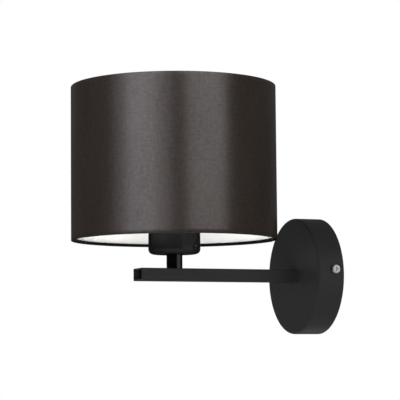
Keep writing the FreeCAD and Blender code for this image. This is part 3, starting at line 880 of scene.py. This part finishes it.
class LIGHT_OT_metal_finishes(bpy.types.Operator):
    """Paints the rose, arm, post and cup and finishes the bright and plated parts"""
    bl_idname = "wall_light.metal_finishes"
    bl_label = "Painted and plated parts"

    def execute(self, context):
        colours = context.scene.light_finishes
        cover_nodes(coated_material("black_powder_coat", colours.coat, roughness=0.34, specular=0.12,
                                    grain=0.8 * MM, strength=0.08),
                    "rose_cover", "arm_tube")
        cover_nodes(coated_material("black_cup_paint", colours.cup, roughness=0.2, specular=0.0,
                                    grain=0.8 * MM, strength=0.02, metallic=0.65, rim=0.25),
                    "lampholder_cup")
        cover_nodes(coated_material("black_gloss_paint", colours.gloss, roughness=0.15, specular=0.45,
                                    grain=0.6 * MM, strength=0.02),
                    "post_sleeve", "cup_screw")
        cover_nodes(metal_material("bright_nickel", (0.50, 0.49, 0.475), roughness=0.22,
                                   lines=(1, 1, 1), strength=0.05),
                    "cover_screw_left", "cover_screw_right")
        cover_nodes(metal_material("zinc_plate", (0.58, 0.59, 0.60), roughness=0.38,
                                   lines=(0.08, 1, 1), strength=0.08),
                    "wall_strap", "arm_flange", "cover_studs", "stud_nuts", "stud_washer",
                    "nipple_nut", "nipple_washer", "holder_nipple", "terminal_screws",
                    "terminal_block_screw")
        cover_nodes(metal_material("plain_brass", (0.70, 0.52, 0.26), roughness=0.32,
                                   lines=(1, 1, 0.1), strength=0.05),
                    "centre_contact", "lampholder_terminals", "earth_lug", "earth_screw")
        cover_nodes(coated_material("white_wire_paint", (0.80, 0.80, 0.78), roughness=0.4, specular=0.5,
                                    grain=0.5 * MM, strength=0.1),
                    "shade_fitter", "shade_bottom_ring", "shade_top_ring")
        return {"FINISHED"}


class LIGHT_OT_moulded_finishes(bpy.types.Operator):
    """Finishes the lampholder, plugs, terminal block and wire insulation"""
    bl_idname = "wall_light.moulded_finishes"
    bl_label = "Moulded parts and wires"

    def execute(self, context):
        cover_nodes(coated_material("black_moulding", (0.018, 0.018, 0.018), roughness=0.5,
                                    specular=0.4, grain=0.35 * MM, strength=0.15),
                    "lampholder_base", "lampholder_skirt", "shade_ring")
        # Painted shade: the plug sits back in the tube's open end and is coloured darker than the other
        # black mouldings to stand for the shade in that recess.
        cover_nodes(coated_material("black_plug_painted_shade", (0.005, 0.005, 0.005), roughness=0.5,
                                    specular=0.1, grain=0.5 * MM, strength=0.1),
                    "arm_end_plug")
        cover_nodes(coated_material("white_moulding", (0.78, 0.78, 0.75), roughness=0.42,
                                    specular=0.5, grain=0.4 * MM, strength=0.1),
                    "terminal_block", "tube_bush")
        cover_nodes(coated_material("cream_insulator", (0.70, 0.66, 0.56), roughness=0.55,
                                    specular=0.4, grain=0.3 * MM, strength=0.15),
                    "lampholder_insert")
        for name, colour, wire in (("brown_insulation", (0.14, 0.055, 0.025), "wire_live"),
                                   ("blue_insulation", (0.03, 0.12, 0.42), "wire_neutral")):
            cover_nodes(coated_material(name, colour, roughness=0.4, specular=0.5, grain=0.3 * MM,
                                        strength=0.1), wire)
        cover_nodes(striped_insulation("earth_insulation", (0.10, 0.32, 0.05), (0.75, 0.62, 0.05)),
                    "wire_earth")
        return {"FINISHED"}


# Studio

def soft_lamp(name, aim, heading, lean, distance, width, height, power, lit_pieces, mirrored=True,
              shading_pieces=None, colour=(1.0, 1.0, 1.0)):
    """A soft lamp that lights some of the pieces. Its heading runs from +X towards +Y, and its lean
    is above the horizon. Where shading pieces are given, only they throw shadows in it."""
    bpy.ops.object.select_all(action="DESELECT")
    turn = math.radians(heading)
    rise = math.radians(lean)
    out = Vector((math.cos(turn) * math.cos(rise), math.sin(turn) * math.cos(rise), math.sin(rise)))
    bpy.ops.object.light_add(type="AREA", location=aim + out * distance)
    lamp = bpy.context.active_object
    lamp.name = name
    lamp.rotation_euler = out.to_track_quat("Z", "Y").to_euler()
    lamp.data.shape = "RECTANGLE"
    lamp.data.size = width
    lamp.data.size_y = height
    lamp.data.energy = power
    lamp.data.color = colour
    lamp.visible_camera = False
    lamp.visible_glossy = mirrored
    lamp.light_linking.receiver_collection = collected(name + "_lights", lit_pieces)
    if shading_pieces:
        lamp.light_linking.blocker_collection = collected(name + "_shadows", shading_pieces)


def collected(name, pieces):
    """A collection of pieces for a lamp to light, or to take shadows from."""
    collection = bpy.data.collections.new(name)
    for piece in pieces:
        collection.objects.link(piece)
    return collection


def room_world(room, mirrored_room, mirrored_backdrop):
    """A plain even room, white for the camera. In gloss it is dark but for the backdrop."""
    world = bpy.data.worlds.new("studio_room")
    world.use_nodes = True
    tree = world.node_tree
    tree.nodes.clear()
    rays = tree.nodes.new("ShaderNodeLightPath")

    def background(strength):
        shader = tree.nodes.new("ShaderNodeBackground")
        shader.inputs["Color"].default_value = (1, 1, 1, 1)
        shader.inputs["Strength"].default_value = strength
        return shader.outputs[0]

    def choose(factor, first, second):
        shader = tree.nodes.new("ShaderNodeMixShader")
        tree.links.new(factor, shader.inputs[0])
        tree.links.new(first, shader.inputs[1])
        tree.links.new(second, shader.inputs[2])
        return shader.outputs[0]

    # The backdrop's middle and how far it reaches from there before it has faded out
    heading = math.radians(158.7)
    lean = math.radians(65)
    full = math.radians(35)
    faded = math.radians(85)
    towards = tree.nodes.new("ShaderNodeVectorMath")
    towards.operation = "DOT_PRODUCT"
    towards.inputs[1].default_value = (math.cos(heading) * math.cos(lean),
                                       math.sin(heading) * math.cos(lean), math.sin(lean))
    tree.links.new(tree.nodes.new("ShaderNodeTexCoord").outputs["Generated"], towards.inputs[0])
    edge = tree.nodes.new("ShaderNodeMapRange")
    edge.interpolation_type = "SMOOTHSTEP"
    edge.inputs["From Min"].default_value = math.cos(faded)
    edge.inputs["From Max"].default_value = math.cos(full)
    tree.links.new(towards.outputs["Value"], edge.inputs["Value"])
    mirrored = choose(edge.outputs["Result"], background(mirrored_room), background(mirrored_backdrop))
    unseen = choose(rays.outputs["Is Glossy Ray"], background(room), mirrored)
    seen = math_node(tree, "MAXIMUM", rays.outputs["Is Camera Ray"],
                     rays.outputs["Is Transmission Ray"])
    output = tree.nodes.new("ShaderNodeOutputWorld")
    tree.links.new(choose(seen, unseen, background(1.0)), output.inputs["Surface"])
    bpy.context.scene.world = world


def pale_for_camera(material, glow):
    """Lifts a floor's tone towards white, for the camera alone, so that it throws no light."""
    tree = material.node_tree
    shader = tree.nodes["Principled BSDF"]
    rays = tree.nodes.new("ShaderNodeLightPath")
    shader.inputs["Emission Color"].default_value = (1, 1, 1, 1)
    tree.links.new(math_node(tree, "MULTIPLY", rays.outputs["Is Camera Ray"], glow),
                   shader.inputs["Emission Strength"])


class LIGHT_OT_studio(bpy.types.Operator):
    """Adds the camera, lamps, room and floor"""
    bl_idname = "wall_light.studio"
    bl_label = "Studio"

    def execute(self, context):
        studio = context.scene.light_studio
        self.add_camera(context.scene, studio)
        shade = [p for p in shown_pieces() if body_of(p) == ["shade"]]
        metal = [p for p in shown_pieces() if body_of(p) != ["shade"]]
        lining = [p for p in shade if p.name == "shade_lining_sheet"]
        drum_middle = 0.10
        drum = Vector((shade_axis.x, shade_axis.y, drum_middle))
        self.light_cloth(studio, drum, shade)
        self.light_metal(studio, drum, metal)
        self.light_lining(studio, drum, lining)
        room_world(studio.room, studio.mirrored_room, studio.mirrored_backdrop)
        self.add_floor(studio)
        context.scene.view_settings.view_transform = "Standard"
        return {"FINISHED"}

    @staticmethod
    def add_camera(scene, studio):
        """The camera at the photograph's viewing angle."""
        bpy.ops.object.select_all(action="DESELECT")
        bpy.ops.object.camera_add(location=studio.camera_place, rotation=studio.camera_turn)
        camera = bpy.context.active_object
        camera.name = "camera"
        camera.data.lens = studio.lens
        camera.data.sensor_width = 36.0
        camera.data.clip_start = 0.01
        camera.data.clip_end = 50.0
        scene.camera = camera

    @staticmethod
    def light_cloth(studio, drum, shade):
        """Upright lamps that the satin cloth mirrors as two soft bands."""
        rosy = (1.02, 0.965, 0.968)
        cool = (1.0, 0.96, 1.02)
        for name, heading, lean, width, power, colour in (
                ("lamp_right", 14.3, 30, 1.30, studio.right_lamp, rosy),
                ("lamp_left", -56.9, 23, 0.93, studio.left_lamp, cool),
                ("lamp_left_edge", -81.5, 23, 0.41, 0.14 * studio.left_lamp, rosy),
                ("lamp_left_inner_edge", -32.3, 23, 0.41, 0.2 * studio.left_lamp, rosy)):
            soft_lamp(name, drum, heading, lean, distance=1.5, width=width, height=1.8, power=power,
                      lit_pieces=shade, colour=colour)

    @staticmethod
    def light_metal(studio, drum, metal):
        """Lamps for the rose, arm, post and cup."""
        rose = Vector((0, 0, 0))
        flat_metal = [nodes[name] for name in ("rose_cover", "arm_tube", "arm_end_plug")]
        cup = [nodes["lampholder_cup"]]
        soft_lamp("lamp_side", drum, heading=52, lean=3, distance=1.5, width=2.34, height=1.6,
                  power=studio.side_lamp, lit_pieces=metal)
        soft_lamp("lamp_front", rose, heading=-45, lean=-16, distance=1.5, width=1.8, height=1.6,
                  power=studio.front_lamp, lit_pieces=metal, mirrored=False, shading_pieces=metal)
        soft_lamp("lamp_face", rose, heading=-103, lean=-18, distance=1.5, width=2.0, height=1.2,
                  power=studio.face_lamp, lit_pieces=flat_metal, mirrored=False,
                  shading_pieces=flat_metal)
        soft_lamp("lamp_grazing", rose, heading=-156, lean=6, distance=1.5, width=1.5, height=1.5,
                  power=studio.grazing_lamp, lit_pieces=flat_metal)
        soft_lamp("lamp_cup", shade_axis, heading=25, lean=-58, distance=1.0, width=0.6, height=0.6,
                  power=studio.cup_lamp, lit_pieces=cup, mirrored=False)

    @staticmethod
    def light_lining(studio, drum, lining):
        """Lamps that fill the open shade from below."""
        for side, heading, lean, distance, width, height, share in (
                ("right", 66, -22, 1.0, 0.8, 0.5, 1.12),
                ("left", -119, -22, 1.0, 0.8, 0.5, 0.45),
                ("front", -27, -22, 1.0, 1.0, 0.5, 0.64),
                ("below", -27, -70, 0.8, 1.1, 1.1, 0.5)):
            soft_lamp("lamp_lining_" + side, drum, heading, lean, distance, width, height,
                      power=share * studio.lining_lamp, lit_pieces=lining)

    @staticmethod
    def add_floor(studio):
        """A plain pale floor well below the light."""
        bpy.ops.object.select_all(action="DESELECT")
        bpy.ops.mesh.primitive_plane_add(size=5.0, location=(0, 0, -studio.floor_drop))
        floor = bpy.context.active_object
        floor.name = "floor"
        material = coated_material("pale_floor", (0.85, 0.85, 0.84), roughness=0.7, specular=0.3,
                                   grain=4 * MM, strength=0.05)
        floor.data.materials.append(material)
        pale_for_camera(material, studio.floor_glow)
        bpy.ops.object.transform_apply(location=True, rotation=True, scale=True)
        floor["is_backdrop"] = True


class LIGHT_PT_panel(bpy.types.Panel):
    """Lists the steps and the sizes and colours that they use"""
    bl_idname = "LIGHT_PT_panel"
    bl_label = "Wall light"
    bl_space_type = "VIEW_3D"
    bl_region_type = "UI"
    bl_category = "Wall light"

    def draw(self, context):
        for group_name in GROUPS:
            group = getattr(context.scene, group_name)
            box = self.layout.box()
            for name in group.__annotations__:
                box.prop(group, name)
        for operator in OPERATORS:
            self.layout.operator(operator.bl_idname)


GROUPS = {"light_shade": ShadeSizes, "light_socket": SocketSizes, "light_finishes": Finishes,
          "light_studio": Studio}
OPERATORS = (LIGHT_OT_shader_groups, LIGHT_OT_shade_lining, LIGHT_OT_shade_cloth,
             LIGHT_OT_shade_hems, LIGHT_OT_socket_thread, LIGHT_OT_metal_finishes,
             LIGHT_OT_moulded_finishes, LIGHT_OT_studio)


def register():
    for name, group in GROUPS.items():
        bpy.utils.register_class(group)
        setattr(bpy.types.Scene, name, bpy.props.PointerProperty(type=group))
    for operator in OPERATORS:
        bpy.utils.register_class(operator)
    bpy.utils.register_class(LIGHT_PT_panel)


def unregister():
    bpy.utils.unregister_class(LIGHT_PT_panel)
    for operator in reversed(OPERATORS):
        bpy.utils.unregister_class(operator)
    for name, group in GROUPS.items():
        delattr(bpy.types.Scene, name)
        bpy.utils.unregister_class(group)


def main():
    """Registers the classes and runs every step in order."""
    register()
    bpy.ops.wall_light.shader_groups()
    bpy.ops.wall_light.shade_lining()
    bpy.ops.wall_light.shade_cloth()
    bpy.ops.wall_light.shade_hems()
    bpy.ops.wall_light.socket_thread()
    bpy.ops.wall_light.metal_finishes()
    bpy.ops.wall_light.moulded_finishes()
    bpy.ops.wall_light.studio()


if __name__ == "__main__":
    main()
